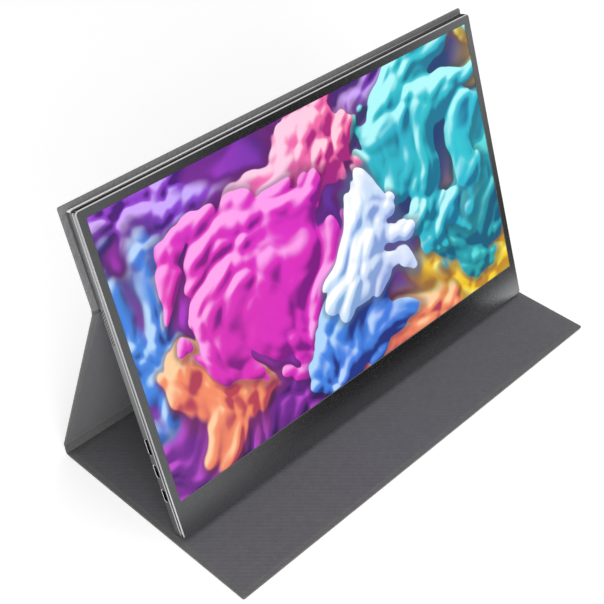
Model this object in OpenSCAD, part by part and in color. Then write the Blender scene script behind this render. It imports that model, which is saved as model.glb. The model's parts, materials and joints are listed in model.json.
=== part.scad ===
// Portable monitor that leans on its folded cover.
// +X runs along the screen's width, +Y runs from the screen towards the rear, +Z is up.
// The origin is at the middle of the cover's footprint, on the table.

/* [Screen] */
// Width of the lit picture
active_w = 344.2; // [300:0.1:380]
// Height of the lit picture
active_h = 193.6; // [160:0.1:215]

/* [Monitor casing] */
// Frame beside the picture
side_border = 6.2; // [5.5:0.1:12]
// Frame above the picture
top_border = 6.4; // [5.5:0.1:12]
// Frame below the picture
chin = 25.8; // [22:0.1:32]
// Thickness of the whole monitor
mon_t = 10; // [9.8:0.1:12]
// Depth of the front frame's edge
frame_t = 2.6; // [2.3:0.1:3]
// Thickness of the front frame's face
face_t = 0.6; // [0.5:0.05:0.8]
// Width of the dark seam between frame and shell
seam_w = 0.3; // [0.2:0.05:0.5]
// How far the gasket sits back from the outside
seam_inset = 0.6; // [0.3:0.1:0.8]
// Width of the gasket's ring
gasket_w = 0.6; // [0.4:0.1:0.7]
// Wall of the frame and of the rear shell
wall = 1.2; // [1:0.1:1.4]
// Radius of the casing's corners seen from the front
corner_r = 2.5; // [2:0.5:6]
// Radius of the rear shell's back edges
back_r = 2; // [1.6:0.1:2.2]
// Chamfer on the polished edges
edge_c = 0.6; // [0.2:0.05:0.6]

/* [Panel stack] */
// Glass beyond the picture at the sides and the top
cell_rim = 3; // [2:0.1:3.5]
// Glass below the picture
cell_ledge = 8; // [7:0.1:9]
// Thickness of the adhesive tape round the glass
tape_t = 0.15; // [0.1:0.05:0.3]
// How far the tape stays back from the picture
tape_back = 0.5; // [0.3:0.1:1]
// Thickness of the glass cell
cell_t = 1; // [0.8:0.1:1.2]
// Thickness of the diffuser films together
film_t = 0.5; // [0.3:0.1:0.6]
// Thickness of the light guide
guide_t = 1.2; // [1:0.1:1.3]
// Thickness of the reflector sheet
reflector_t = 0.2; // [0.1:0.05:0.3]
// Wall of the backlight tray
tray_t = 0.5; // [0.4:0.1:0.6]
// Play of the films and the light guide in the tray
stack_play = 0.2; // [0.1:0.05:0.4]
// Height of the strip of light-emitting diodes
led_h = 2.2; // [1.8:0.1:3]
// How far the strip of diodes stops short of the tray's ends
led_short = 6; // [3:1:15]

/* [Stance] */
// Lean of the monitor from upright, in degrees
lean = 21; // [18:0.5:24]
// Height of the upper fold along the monitor's back
fold_v = 161.9; // [150:0.1:170]
// From the monitor's front edge back to the strut's foot
foot_y = 116.8; // [110:0.1:125]
// Height of the strut's foot axis
foot_z = 5.4; // [5:0.1:6.5]
// Cover in front of the monitor
front_reach = 56.3; // [45:0.1:75]
// Clearance between the monitor's lower edge and the cover
contact_gap = 0.25; // [0.2:0.05:0.4]

/* [Cover] */
// Cover beyond the monitor at each side
side_rise = 3.5; // [1:0.1:5]
// Cover above the monitor's top edge
top_rise = 3; // [1:0.1:5]
// Thickness of a stiff cover panel with its fabric
panel_t = 2.2; // [2:0.1:2.4]
// Thickness of the outer fabric
fabric_t = 0.4; // [0.3:0.05:0.5]
// Thickness of the fabric where it turns in over the board
lip_t = 0.3; // [0.2:0.05:0.4]
// Width of the turned-in border
lip_w = 3.5; // [2.5:0.1:5]
// Fabric round the board's edge
hem_t = 0.6; // [0.4:0.1:1]
// How far the lining stands above the turned-in border
lining_proud = 0.3; // [0.2:0.05:0.4]
// Radius of a cover panel's corners
cover_r = 1.5; // [1:0.1:3]

/* [Folds] */
// Radius of the round crease on each fold axis
fold_r = 0.6; // [0.5:0.05:0.7]
// Clearance between a crease and the panel that turns about it
fold_gap = 0.3; // [0.25:0.05:0.4]
// Thickness of the fabric that joins a crease to its panel
web_t = 0.6; // [0.4:0.05:0.6]
// How far the folds stay back from the cover's sides
fold_inset = 1; // [0.5:0.1:3]
// How far the lower fold lies ahead of the strut's foot
spine_run = 1.6; // [1:0.1:2.5]
// Height of the lower fold's axis
spine_z = 0.9; // [0.8:0.05:1.2]
// Thickness of the spine between the two rear folds
spine_t = 1; // [0.8:0.1:1.2]

/* [Magnets] */
// Radius of the disc magnets in the upper panel
magnet_r = 5; // [3:0.5:8]
// How many disc magnets the upper panel has
magnet_count = 6; // [2:1:8]
// Distance between the disc magnets
magnet_pitch = 50; // [30:1:50]
// Play of a magnet in its pocket
magnet_play = 0.1; // [0.05:0.05:0.2]
// Width of the steel plate in the rear shell
plate_w = 270; // [240:1:300]
// Height of the steel plate in the rear shell
plate_h = 42; // [20:1:44]
// Thickness of the steel plate
plate_t = 0.5; // [0.3:0.1:0.8]
// Length of the bar magnets in the base panel
bar_len = 60; // [30:1:80]
// Width of the bar magnets in the base panel
bar_w = 6; // [4:0.5:8]

/* [Ports] */
// Depth of the ports' middle behind the front face
port_y = 6.3; // [6.2:0.1:6.5]
// Height of the small video port along the monitor
hdmi_v = 68; // [66:0.5:70]
// Height of the upper oval port along the monitor
usb_upper_v = 50.3; // [49:0.1:52]
// Height of the lower oval port along the monitor
usb_lower_v = 32.1; // [31:0.1:34]
// Oval port's mouth, long way
usb_w = 8.34; // [8.3:0.01:8.4]
// Oval port's mouth, short way
usb_h = 2.56; // [2.5:0.01:2.6]
// Video port's mouth, long way
hdmi_w = 10.42; // [10.3:0.01:10.6]
// Video port's mouth, short way
hdmi_h = 2.42; // [2.3:0.01:2.5]
// Sheet metal of the ports
port_wall = 0.3; // [0.2:0.05:0.35]
// Length of the ports into the casing
port_len = 7.5; // [6:0.1:9]
// Play round a port in the shell's cutout and in the board
port_play = 0.25; // [0.15:0.05:0.3]
// Thickness of the contact tongues
tongue_t = 0.7; // [0.5:0.05:0.8]
// How far the contact tongues stop short of the mouth
tongue_back = 1.2; // [0.8:0.1:2]
// Side play of a contact tongue in its port
tongue_side = 0.8; // [0.6:0.1:1.2]
// Height of the headphone jack along the monitor
jack_v = 38; // [37:0.5:39]
// Radius of the headphone jack's bore
jack_r = 1.8; // [1.75:0.01:1.85]
// Depth of the headphone jack's bore
jack_len = 12; // [11:0.5:13]
// Height and width of the headphone jack's body
jack_body = [6.4, 4.2]; // [4.1:0.1:7]
// Radius of the jack's nose
jack_nose_r = 2.3; // [2.2:0.05:2.35]
// Play of the jack's nose in the shell
jack_play = 0.1; // [0.05:0.05:0.1]
// Bottom of the jack's body behind the bore
jack_end = 1; // [0.5:0.1:2]

/* [Speakers] */
// Height of the speaker grilles along the monitor
grille_v = 151; // [145:0.5:155]
// Holes in one column of a grille
grille_rows = 12; // [8:1:13]
// Columns of holes in a grille
grille_cols = 3; // [2:1:3]
// Distance between the holes of a column
grille_pitch = 2; // [1.8:0.1:2.2]
// Distance between the columns
grille_step = 1.15; // [1:0.05:1.2]
// Radius of a grille hole
grille_r = 0.42; // [0.3:0.01:0.5]
// Thickness of the dust mesh behind the holes
mesh_t = 0.3; // [0.2:0.1:0.5]
// Length of a speaker along the monitor
speaker_len = 44; // [32:1:50]
// Width of a speaker
speaker_w = 16; // [12:1:22]
// Clearance between a speaker and the backlight tray
speaker_gap = 0.3; // [0.2:0.1:0.4]

/* [Controls] */
// Height of the power button along the monitor
power_v = 78; // [76:0.5:79]
// Height of the menu rocker along the monitor
rocker_v = 56; // [55:0.5:58]
// Height of the status light along the monitor
led_v = 90; // [89:0.5:94]
// Distance of the rocker's two switches from its pivot
rocker_reach = 5; // [4:0.5:6]
// Depth, length and width of a switch
switch_size = [3.4, 3, 3.6]; // [2.5:0.1:4]
// Radius of a switch's plunger
plunger_r = 0.8; // [0.5:0.1:1]
// Length of a switch's plunger
plunger_len = 0.5; // [0.4:0.1:0.8]
// Clearance between a pressed button and its switch
switch_play = 0.1; // [0.05:0.05:0.2]
// Length of the power button
power_len = 9; // [7:0.5:10]
// Length of the menu rocker
rocker_len = 16; // [14:0.5:18]
// Width of the buttons
button_w = 2.2; // [1.8:0.1:2.4]
// How far the buttons stand out of the casing
button_out = 0.5; // [0.45:0.05:0.8]
// Travel of the power button
button_travel = 0.45; // [0.3:0.05:0.5]
// Play of the buttons in their slots
button_play = 0.2; // [0.18:0.01:0.25]
// Flange that keeps a button in the casing
flange_w = 0.6; // [0.4:0.1:0.8]
// Thickness of that flange
flange_t = 0.4; // [0.3:0.05:0.5]
// From the casing's inner wall to a button's flange
flange_gap = 0.6; // [0.5:0.05:0.7]
// Radius of the rocker's pivot
pivot_r = 0.4; // [0.3:0.05:0.4]
// How far the rocker's pivot stands out of its flange
pivot_out = 0.4; // [0.2:0.1:0.5]
// Radius of the status light
status_r = 0.8; // [0.6:0.05:1]
// Play of the status light in its hole
status_play = 0.05; // [0.03:0.01:0.1]

/* [Boards] */
// Thickness of the circuit boards
pcb_t = 0.8; // [0.6:0.1:1]
// Length of the main board
main_len = 106; // [95:1:125]
// Lower edge of the main board along the monitor
main_v = 21; // [20:0.5:22]
// Height of the main board
main_h = 62; // [60:0.5:64]
// Width of the control board
control_len = 14; // [13:0.5:16]
// Lower edge of the control board along the monitor
control_v = 24; // [23:0.5:25]
// Height of the control board
control_h = 70; // [68:0.5:72]
// Clearance between the boards and the casing's inner wall
board_gap = 3; // [2.8:0.1:3.2]
// Height of the chips on the main board
chip_t = 0.9; // [0.6:0.1:1]
// Side of the picture processor
processor_w = 18; // [14:1:20]
// Side of the two socket controllers
controller_w = 7; // [5:0.5:9]
// Width of the memory chip and of the power chip
memory_w = 9; // [7:0.5:10]
// Distance between neighbouring chips
chip_gap = 6; // [5:0.5:8]
// Height of the panel's driver board
driver_h = 12; // [9:0.5:13]
// Clearance between the driver board and the glass
driver_gap = 1.8; // [1.2:0.1:2.5]
// Width of the driver films
film_w = 18; // [12:1:24]
// Overlap of the driver films on the driver board
film_lap = 3; // [2:0.5:4]
// Overlap of the panel's flat cable on the main board
flex_lap = 6; // [4:0.5:7]
// Radius of the screw bosses
boss_r = 2; // [1.6:0.1:2.4]
// Radius of the screws' shanks
screw_r = 0.6; // [0.5:0.05:0.7]
// Radius of the screws' heads
head_r = 1.5; // [1.2:0.1:1.8]
// Height of the screws' heads
head_t = 0.6; // [0.4:0.1:0.8]
// Play of a screw in its boss
screw_play = 0.02; // [0.01:0.01:0.05]
// Radius of the posts that back the panel
post_r = 2; // [1.5:0.1:3]
// Thickness of the flat cables
flex_t = 0.15; // [0.1:0.05:0.2]
// Width of the flat cables
flex_w = 6; // [4:0.5:7]
// Thickness of the speaker leads
lead_t = 0.8; // [0.6:0.1:1]
// Width of the speaker leads
lead_w = 1.6; // [1.2:0.1:2]
// Clearance of the speaker leads above the main board
lead_gap = 12; // [8:1:20]
// From the main board's inner end back to where the speaker leads join it
lead_join = 15; // [8:1:20]
// From the main board's outer end to its first pair of screws
screw_in = 15; // [12:1:20]

/* [Hidden] */
$fn = 48;

// Outline of the monitor in its own frame: x across, y depth from the front face, z up
mon_w = active_w + 2 * side_border;
mon_h = chin + active_h + top_border;
half_w = mon_w / 2;
cover_w = mon_w + 2 * side_rise;
inner_x = half_w - wall;
shell_y = frame_t + seam_w;
back_y = mon_t - wall;
inner_r = back_r - wall;

// Front faces of the panel's layers
tape_y = face_t;
cell_y = tape_y + tape_t;
film_y = cell_y + cell_t;
guide_y = film_y + film_t;
reflector_y = guide_y + guide_t;
tray_y = reflector_y + reflector_t;
tray_back = tray_y + tray_t;
cell_half = active_w / 2 + cell_rim;
cell_low = chin - cell_ledge;
cell_high = chin + active_h + cell_rim;
stack_half = cell_half - tray_t - stack_play;
stack_low = cell_low + tray_t + stack_play;
stack_high = cell_high - tray_t - stack_play;
guide_low = stack_low + led_h + stack_play;

// Stance: the lower back edge of the casing just clears the cover
mon_z = panel_t + contact_gap + (mon_t - back_r) * sin(lean) + back_r * (1 - cos(lean));
fold_y = fold_v * sin(lean) + (mon_t + panel_t) * cos(lean);
fold_z = mon_z + fold_v * cos(lean) - (mon_t + panel_t) * sin(lean);
strut_reach = norm([foot_y - fold_y, fold_z - foot_z]);
strut_len = sqrt(strut_reach * strut_reach - panel_t * panel_t);
strut_lean = atan2(foot_y - fold_y, fold_z - foot_z) + atan2(panel_t, strut_len);
end_gap = fold_r + fold_gap;
spine_y = foot_y - spine_run;
base_len = front_reach + spine_y - end_gap;
upper_len = mon_h + top_rise - fold_v - end_gap;
strut_panel_len = strut_len - 2 * end_gap;
rear_y = foot_y + panel_t * cos(strut_lean) - end_gap * sin(strut_lean);
row_y = (rear_y - front_reach) / 2;
fold_w = cover_w - 2 * fold_inset;

// Layers of a cover panel, from its outer face
lip_y = panel_t - lining_proud;
board_top = lip_y - lip_t;
board_t = board_top - fabric_t;

// Ports, controls and boards
usb_out = [usb_w + 2 * port_wall, usb_h + 2 * port_wall];
hdmi_out = [hdmi_w + 2 * port_wall, hdmi_h + 2 * port_wall];
hdmi_cut = 1;
pcb_y = port_y - pcb_t / 2;
pcb_back = pcb_y + pcb_t;
main_x = -inner_x + board_gap;
control_x = inner_x - board_gap;
jack_x = inner_x + wall / 2 - jack_len;
boss_edge = 2 * boss_r;
button_back = inner_x - flange_gap - flange_t;
switch_face = button_back - button_travel - switch_play - plunger_len;
lead_z = main_v + main_h + lead_gap;
driver_half = 0.7 * cell_half;
driver_low = cell_low - driver_gap - driver_h;
flex_x = main_x + 0.8 * main_len;
control_flex_v = control_v + flex_w / 2;
plate_v = (fold_v + end_gap + mon_h) / 2;
main_screws = [
    for (x = [main_x + screw_in, main_x + main_len - boss_edge])
        for (z = [main_v + boss_edge, main_v + main_h - boss_edge]) [x, z]
];
control_screws = [
    for (z = [(jack_v + rocker_v) / 2, (rocker_v + power_v) / 2])
        [control_x - control_len + boss_edge, z]
];
posts = [
    for (x = [-0.62, 0, 0.62]) for (z = [0.56, 0.72]) [x * half_w, z * mon_h]
];

// Frames of the three cover parts and of the monitor
module on_monitor() {
    translate([0, -row_y, mon_z]) rotate([-lean, 0, 0]) children();
}
module on_strut() {
    translate([0, foot_y - row_y, foot_z]) rotate([strut_lean, 0, 0]) children();
}
module on_base() {
    translate([0, -row_y, 0]) children();
}

// Helpers
module span(x, y, z) {
    translate([x[0], y[0], z[0]]) cube([x[1] - x[0], y[1] - y[0], z[1] - z[0]]);
}
module round_rect(w, h, r) {
    translate([-w / 2 + r, 0]) square([w - 2 * r, h]);
    translate([-w / 2, r]) square([w, h - 2 * r]);
    for (x = [-w / 2 + r, w / 2 - r]) for (y = [r, h - r]) translate([x, y]) circle(r);
}
module stadium(w, h) {
    square([w - h, h], center = true);
    for (x = [-1, 1]) translate([x * (w - h) / 2, 0]) circle(h / 2);
}
module slab_profile(w, t, c, r) {
    if (c > 0) polygon([[-w / 2 + c, 0], [w / 2 - c, 0], [w / 2, c], [-w / 2, c]]);
    translate([-w / 2, c]) square([w, t - r - c]);
    if (r > 0) {
        translate([-w / 2 + r, t - r]) square([w - 2 * r, r]);
        for (x = [-w / 2 + r, w / 2 - r]) translate([x, t - r]) circle(r);
    }
}
// Upright plate with round corners between the depths y0 and y1, from z0 up
module rounded_slab(w, h, y0, y1, z0, r) {
    translate([0, y1, z0]) rotate([90, 0, 0]) linear_extrude(y1 - y0) round_rect(w, h, r);
}
// Flat casing of w by h by t: c is the chamfer at its front, r the radius at its back
module casing(w, h, t, corner, c, r) {
    intersection() {
        translate([0, t, 0]) rotate([90, 0, 0]) linear_extrude(t) round_rect(w, h, corner);
        linear_extrude(h) slab_profile(w, t, c, r);
        translate([-w / 2, 0, h / 2]) rotate([0, 90, 0]) linear_extrude(w) slab_profile(h, t, c, r);
    }
}
// A shape drawn across the side wall: its x runs down the wall and its y runs with the depth
module through_side(x, len, v) {
    translate([x, port_y, v]) rotate([0, 90, 0]) linear_extrude(len) children();
}
module video_outline(w, h) {
    polygon([
        [-w / 2, -h / 2], [w / 2 - hdmi_cut, -h / 2], [w / 2, -h / 2 + hdmi_cut],
        [w / 2, h / 2], [-w / 2, h / 2]
    ]);
}
module disc(x, z, y0, y1, r) {
    translate([x, y1, z]) rotate([90, 0, 0]) cylinder(h = y1 - y0, r = r);
}

// Casing
module bezel_body() {
    difference() {
        casing(mon_w, mon_h, frame_t, corner_r, edge_c, 0);
        rounded_slab(2 * inner_x, mon_h - 2 * wall, face_t, frame_t + 1, wall, corner_r - wall);
        span([-active_w / 2, active_w / 2], [-1, frame_t], [chin, chin + active_h]);
    }
}
module front_bezel() {
    color("dimgray") on_monitor() bezel_body();
}
module bezel_gasket() {
    out_w = mon_w - 2 * seam_inset;
    out_h = mon_h - 2 * seam_inset;
    out_r = corner_r - seam_inset;
    color("black") on_monitor() difference() {
        rounded_slab(out_w, out_h, frame_t, shell_y, seam_inset, out_r);
        rounded_slab(out_w - 2 * gasket_w, out_h - 2 * gasket_w, frame_t - 1, shell_y + 1,
            seam_inset + gasket_w, out_r - gasket_w);
    }
}
module grille_holes(x) {
    for (c = [0:grille_cols - 1], r = [0:grille_rows - 1]) {
        stagger = c % 2 == 0 ? 0.25 : -0.25;
        z = grille_v + (r - (grille_rows - 1) / 2 + stagger) * grille_pitch;
        y = port_y + (c - (grille_cols - 1) / 2) * grille_step;
        translate([x, y, z]) rotate([0, 90, 0]) cylinder(h = 2 * wall, r = grille_r, center = true);
    }
}
module side_cutouts() {
    wall_mid = half_w - wall / 2;
    for (side = [-1, 1]) grille_holes(side * wall_mid);
    for (v = [usb_upper_v, usb_lower_v]) through_side(-half_w - 1, wall + 2, v)
        stadium(usb_out[0] + 2 * port_play, usb_out[1] + 2 * port_play);
    through_side(-half_w - 1, wall + 2, hdmi_v)
        video_outline(hdmi_out[0] + 2 * port_play, hdmi_out[1] + 2 * port_play);
    through_side(inner_x - 1, wall + 2, jack_v) circle(jack_nose_r + jack_play);
    through_side(inner_x - 1, wall + 2, led_v) circle(status_r + status_play);
    through_side(inner_x - 1, wall + 2, power_v)
        stadium(power_len + 2 * button_play, button_w + 2 * button_play);
    through_side(inner_x - 1, wall + 2, rocker_v)
        stadium(rocker_len + 2 * button_play, button_w + 2 * button_play);
}
module rear_shell() {
    inner_t = back_y - shell_y;
    color("gray") on_monitor() difference() {
        union() {
            difference() {
                translate([0, shell_y, 0]) casing(mon_w, mon_h, mon_t - shell_y, corner_r, edge_c, back_r);
                translate([0, shell_y, wall])
                    casing(mon_w - 2 * wall, mon_h - 2 * wall, inner_t, corner_r - wall, 0, back_r - wall);
                rounded_slab(2 * inner_x, mon_h - 2 * wall, shell_y - 1, shell_y + 1, wall, corner_r - wall);
            }
            for (p = concat(main_screws, control_screws)) disc(p[0], p[1], pcb_back, back_y + wall / 2, boss_r);
            for (p = posts) disc(p[0], p[1], tray_back, back_y + wall / 2, post_r);
        }
        for (p = concat(main_screws, control_screws)) disc(p[0], p[1], pcb_back - 1, back_y, screw_r + screw_play);
        side_cutouts();
    }
}

// Panel stack
module panel_tape() {
    hole = active_w / 2 + tape_back;
    color("black") on_monitor() difference() {
        span([-cell_half, cell_half], [tape_y, cell_y], [cell_low, cell_high]);
        span([-hole, hole], [tape_y - 1, cell_y + 1], [chin - tape_back, chin + active_h + tape_back]);
    }
}
module lcd_cell() {
    color("midnightblue") on_monitor()
        span([-cell_half, cell_half], [cell_y, film_y], [cell_low, cell_high]);
}
module optical_films() {
    color("white") on_monitor()
        span([-stack_half, stack_half], [film_y, guide_y], [stack_low, stack_high]);
}
module light_guide() {
    color("lightcyan") on_monitor()
        span([-stack_half, stack_half], [guide_y, reflector_y], [guide_low, stack_high]);
}
module reflector_sheet() {
    color("white") on_monitor()
        span([-stack_half, stack_half], [reflector_y, tray_y], [stack_low, stack_high]);
}
module led_bar() {
    led_half = stack_half - led_short;
    color("khaki") on_monitor()
        span([-led_half, led_half], [guide_y, reflector_y], [stack_low, stack_low + led_h]);
}
module backlight_tray() {
    inner_half = cell_half - tray_t;
    color("silver") on_monitor() difference() {
        span([-cell_half, cell_half], [film_y, tray_back], [cell_low, cell_high]);
        span([-inner_half, inner_half], [film_y - 1, tray_y], [cell_low + tray_t, cell_high - tray_t]);
    }
}
module panel_driver_board() {
    color("darkgreen") on_monitor()
        span([-driver_half, driver_half], [film_y, film_y + pcb_t], [driver_low, driver_low + driver_h]);
}
module driver_films() {
    reach = driver_half - film_w;
    color("goldenrod") on_monitor() for (i = [-2:2]) translate([i * reach / 2, 0, 0])
        span([-film_w / 2, film_w / 2], [film_y - flex_t, film_y], [driver_low + driver_h - film_lap, cell_low]);
}
module panel_flex() {
    flex_y = pcb_y - chip_t;
    low = driver_low + driver_h / 2;
    color("goldenrod") on_monitor() {
        span([flex_x - flex_w, flex_x + flex_w], [film_y + pcb_t, flex_y], [low, low + flex_t]);
        span([flex_x - flex_w, flex_x + flex_w], [flex_y - flex_t, flex_y], [low, main_v + flex_lap]);
    }
}

// Boards
module main_board() {
    color("darkgreen") on_monitor() difference() {
        span([main_x, main_x + main_len], [pcb_y, pcb_back], [main_v, main_v + main_h]);
        for (v = [usb_upper_v, usb_lower_v]) board_notch(usb_out[0], v);
        board_notch(hdmi_out[0], hdmi_v);
        for (p = main_screws) disc(p[0], p[1], pcb_y - 1, pcb_back + 1, screw_r + screw_play);
    }
}
module board_notch(w, v) {
    notch = port_len + port_play - board_gap;
    span([main_x - 1, main_x + notch], [pcb_y - 1, pcb_back + 1], [v - w / 2 - port_play, v + w / 2 + port_play]);
}
// A chip of w by h whose lower left corner is x and z from the middle of the board
module chip(x, z, w, h) {
    translate([main_x + main_len / 2 + x, 0, main_v + main_h / 2 + z])
        span([0, w], [pcb_y - chip_t, pcb_y], [0, h]);
}
module main_board_chips() {
    left = -processor_w / 2 - chip_gap - controller_w;
    right = processor_w / 2 + chip_gap;
    color("black") on_monitor() {
        chip(-processor_w / 2, -processor_w / 2, processor_w, processor_w);
        for (z = [-1, 1]) chip(left, z * (controller_w + chip_gap) / 2 - controller_w / 2, controller_w, controller_w);
        for (z = [-1, 1]) chip(right, z * (memory_w + chip_gap) / 2 - memory_w / 2, memory_w, memory_w);
        span([flex_x - flex_w, flex_x + flex_w], [pcb_y - chip_t, pcb_y],
            [main_v + flex_lap, main_v + flex_lap + flex_w / 2]);
    }
}
module screw(p) {
    disc(p[0], p[1], pcb_y - head_t, pcb_y, head_r);
    disc(p[0], p[1], pcb_y - head_t / 2, back_y - 0.2, screw_r);
}
module board_screws() {
    color("silver") on_monitor() for (p = concat(main_screws, control_screws)) screw(p);
}

// Ports on the left side
module port_shell(v, out) {
    difference() {
        through_side(-inner_x, port_len, v) children(0);
        through_side(-inner_x - 1, port_len + 1 - port_wall, v) children(1);
    }
}
module usb_c_port(v) {
    color("silver") on_monitor() port_shell(v) {
        stadium(usb_out[0], usb_out[1]);
        stadium(usb_w, usb_h);
    }
}
module usb_c_port_upper() {
    usb_c_port(usb_upper_v);
}
module usb_c_port_lower() {
    usb_c_port(usb_lower_v);
}
module port_tongue(v, w) {
    span([-inner_x + tongue_back, -inner_x + port_len - port_wall],
        [port_y - tongue_t / 2, port_y + tongue_t / 2], [v - w / 2, v + w / 2]);
}
module usb_c_tongues() {
    color("black") on_monitor()
        for (v = [usb_upper_v, usb_lower_v]) port_tongue(v, usb_w - 2 * tongue_side);
}
module mini_hdmi_port() {
    color("silver") on_monitor() port_shell(hdmi_v) {
        video_outline(hdmi_out[0], hdmi_out[1]);
        video_outline(hdmi_w, hdmi_h);
    }
}
module mini_hdmi_tongue() {
    color("black") on_monitor() port_tongue(hdmi_v, hdmi_w - 2 * tongue_side - hdmi_cut);
}

// Speakers
module speaker(side) {
    out_x = inner_x - mesh_t;
    low = grille_v - speaker_len / 2;
    near = side * out_x;
    far = side * (out_x - speaker_w);
    on_monitor() span([min(near, far), max(near, far)],
        [tray_back + speaker_gap, back_y - inner_r], [low, low + speaker_len]);
}
module speaker_mesh(side) {
    mesh_h = (grille_rows + 1) * grille_pitch;
    mesh_w = (grille_cols - 1) * grille_step + 3 * grille_r;
    x = side > 0 ? inner_x - mesh_t : -inner_x;
    on_monitor() span([x, x + mesh_t], [port_y - mesh_w / 2, port_y + mesh_w / 2],
        [grille_v - mesh_h / 2, grille_v + mesh_h / 2]);
}
module speaker_left() {
    color("dimgray") speaker(-1);
}
module speaker_right() {
    color("dimgray") speaker(1);
}
module speaker_mesh_left() {
    color("black") speaker_mesh(-1);
}
module speaker_mesh_right() {
    color("black") speaker_mesh(1);
}
module speaker_leads() {
    y = [back_y - lead_t, back_y];
    low = grille_v - speaker_len / 2;
    out = inner_x - mesh_t - speaker_w / 2;
    join_x = main_x + main_len - lead_join;
    color("firebrick") on_monitor() {
        span([-out, -out + lead_w], y, [main_v + main_h, low]);
        span([out - lead_w, out], y, [lead_z, low]);
        span([join_x, out], y, [lead_z, lead_z + lead_w]);
        span([join_x, join_x + lead_w], y, [main_v + main_h, lead_z + lead_w]);
    }
}

// Controls on the right side
module control_board() {
    color("darkgreen") on_monitor() difference() {
        span([control_x - control_len, control_x], [pcb_y, pcb_back], [control_v, control_v + control_h]);
        span([jack_x - jack_end - port_play, control_x + 1], [pcb_y - 1, pcb_back + 1],
            [jack_v - jack_body[0] / 2 - port_play, jack_v + jack_body[0] / 2 + port_play]);
        for (v = switch_heights()) span([switch_face - switch_size[0], control_x + 1],
            [pcb_y - 1, pcb_back + 1], [v - switch_size[1] / 2, v + switch_size[1] / 2]);
        for (p = control_screws) disc(p[0], p[1], pcb_y - 1, pcb_back + 1, screw_r + screw_play);
    }
}
function switch_heights() = [power_v, rocker_v - rocker_reach, rocker_v + rocker_reach];
module tact_switches() {
    color("silver") on_monitor() for (v = switch_heights()) {
        span([switch_face - switch_size[0], switch_face],
            [port_y - switch_size[2] / 2, port_y + switch_size[2] / 2],
            [v - switch_size[1] / 2, v + switch_size[1] / 2]);
        through_side(switch_face - plunger_len, 2 * plunger_len, v) circle(plunger_r);
    }
}
module headphone_jack() {
    color("black") on_monitor() difference() {
        union() {
            span([jack_x - jack_end, inner_x - inner_r],
                [port_y - jack_body[1] / 2, port_y + jack_body[1] / 2],
                [jack_v - jack_body[0] / 2, jack_v + jack_body[0] / 2]);
            through_side(inner_x - inner_r - wall / 2, inner_r + wall, jack_v) circle(jack_nose_r);
        }
        through_side(jack_x, jack_len + 1, jack_v) circle(jack_r);
    }
}
module status_light() {
    color("white") on_monitor() through_side(control_x, half_w - control_x, led_v) circle(status_r);
}
module control_flex() {
    left = main_x + main_len - flex_w;
    right = control_x - control_len + flex_w;
    z = [control_flex_v, control_flex_v + flex_w];
    color("goldenrod") on_monitor() {
        span([left, right], [back_y - flex_t, back_y], z);
        span([left, left + flex_t], [pcb_back, back_y], z);
        span([right - flex_t, right], [pcb_back, back_y], z);
    }
}
module button_body(len, v) {
    through_side(button_back, half_w + button_out - button_back, v) stadium(len, button_w);
    through_side(button_back, flange_t, v) stadium(len + 2 * flange_w, button_w + 2 * flange_w);
}
module power_button() {
    color("gray") on_monitor() button_body(power_len, power_v);
}
module menu_rocker() {
    reach = button_w / 2 + flange_w + pivot_out;
    color("gray") on_monitor() {
        button_body(rocker_len, rocker_v);
        disc(button_back + pivot_r, rocker_v, port_y - reach, port_y + reach, pivot_r);
    }
}

// Magnets
function magnet_xs() = [for (i = [0:magnet_count - 1]) (i - (magnet_count - 1) / 2) * magnet_pitch];
module magnet_plate() {
    color("silver") on_monitor()
        span([-plate_w / 2, plate_w / 2], [back_y - plate_t, back_y], [plate_v - plate_h / 2, plate_v + plate_h / 2]);
}
module cover_magnets() {
    color("silver") place_upper() for (x = magnet_xs())
        translate([x, upper_len / 2, fabric_t]) cylinder(h = board_t, r = magnet_r);
}
module base_magnets() {
    color("silver") place_base() for (s = [-1, 1])
        translate([s * cover_w / 4 - bar_len / 2, front_reach, fabric_t]) cube([bar_len, bar_w, board_t]);
}

// Cover panels: x across, y along the panel, z from the outer face to the lining
module place_upper() {
    on_monitor() translate([0, mon_t + panel_t, fold_v + end_gap]) rotate([90, 0, 0]) children();
}
module place_strut() {
    on_strut() translate([0, panel_t, end_gap]) rotate([90, 0, 0]) children();
}
module place_base() {
    on_base() translate([0, -front_reach, 0]) children();
}
module inset_plate(len, inset, z0, z1) {
    translate([-cover_w / 2 + inset, inset, z0]) cube([cover_w - 2 * inset, len - 2 * inset, z1 - z0]);
}
module panel_fabric(len) {
    difference() {
        linear_extrude(lip_y) round_rect(cover_w, len, cover_r);
        inset_plate(len, hem_t, fabric_t, board_top);
        inset_plate(len, lip_w, fabric_t, panel_t);
    }
}
module panel_board(len) {
    inset_plate(len, hem_t, fabric_t, board_top);
}
module panel_lining(len) {
    inset_plate(len, lip_w, board_top, panel_t);
}
module cover_upper_fabric() {
    color("slategray") place_upper() panel_fabric(upper_len);
}
module cover_upper_board() {
    color("tan") place_upper() difference() {
        panel_board(upper_len);
        for (x = magnet_xs()) translate([x, upper_len / 2, 0]) cylinder(h = panel_t, r = magnet_r + magnet_play);
    }
}
module cover_upper_lining() {
    color("dimgray") place_upper() panel_lining(upper_len);
}
module cover_strut_fabric() {
    color("slategray") place_strut() panel_fabric(strut_panel_len);
}
module cover_strut_board() {
    color("tan") place_strut() panel_board(strut_panel_len);
}
module cover_strut_lining() {
    color("dimgray") place_strut() panel_lining(strut_panel_len);
}
module cover_base_fabric() {
    color("slategray") place_base() panel_fabric(base_len);
}
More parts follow.
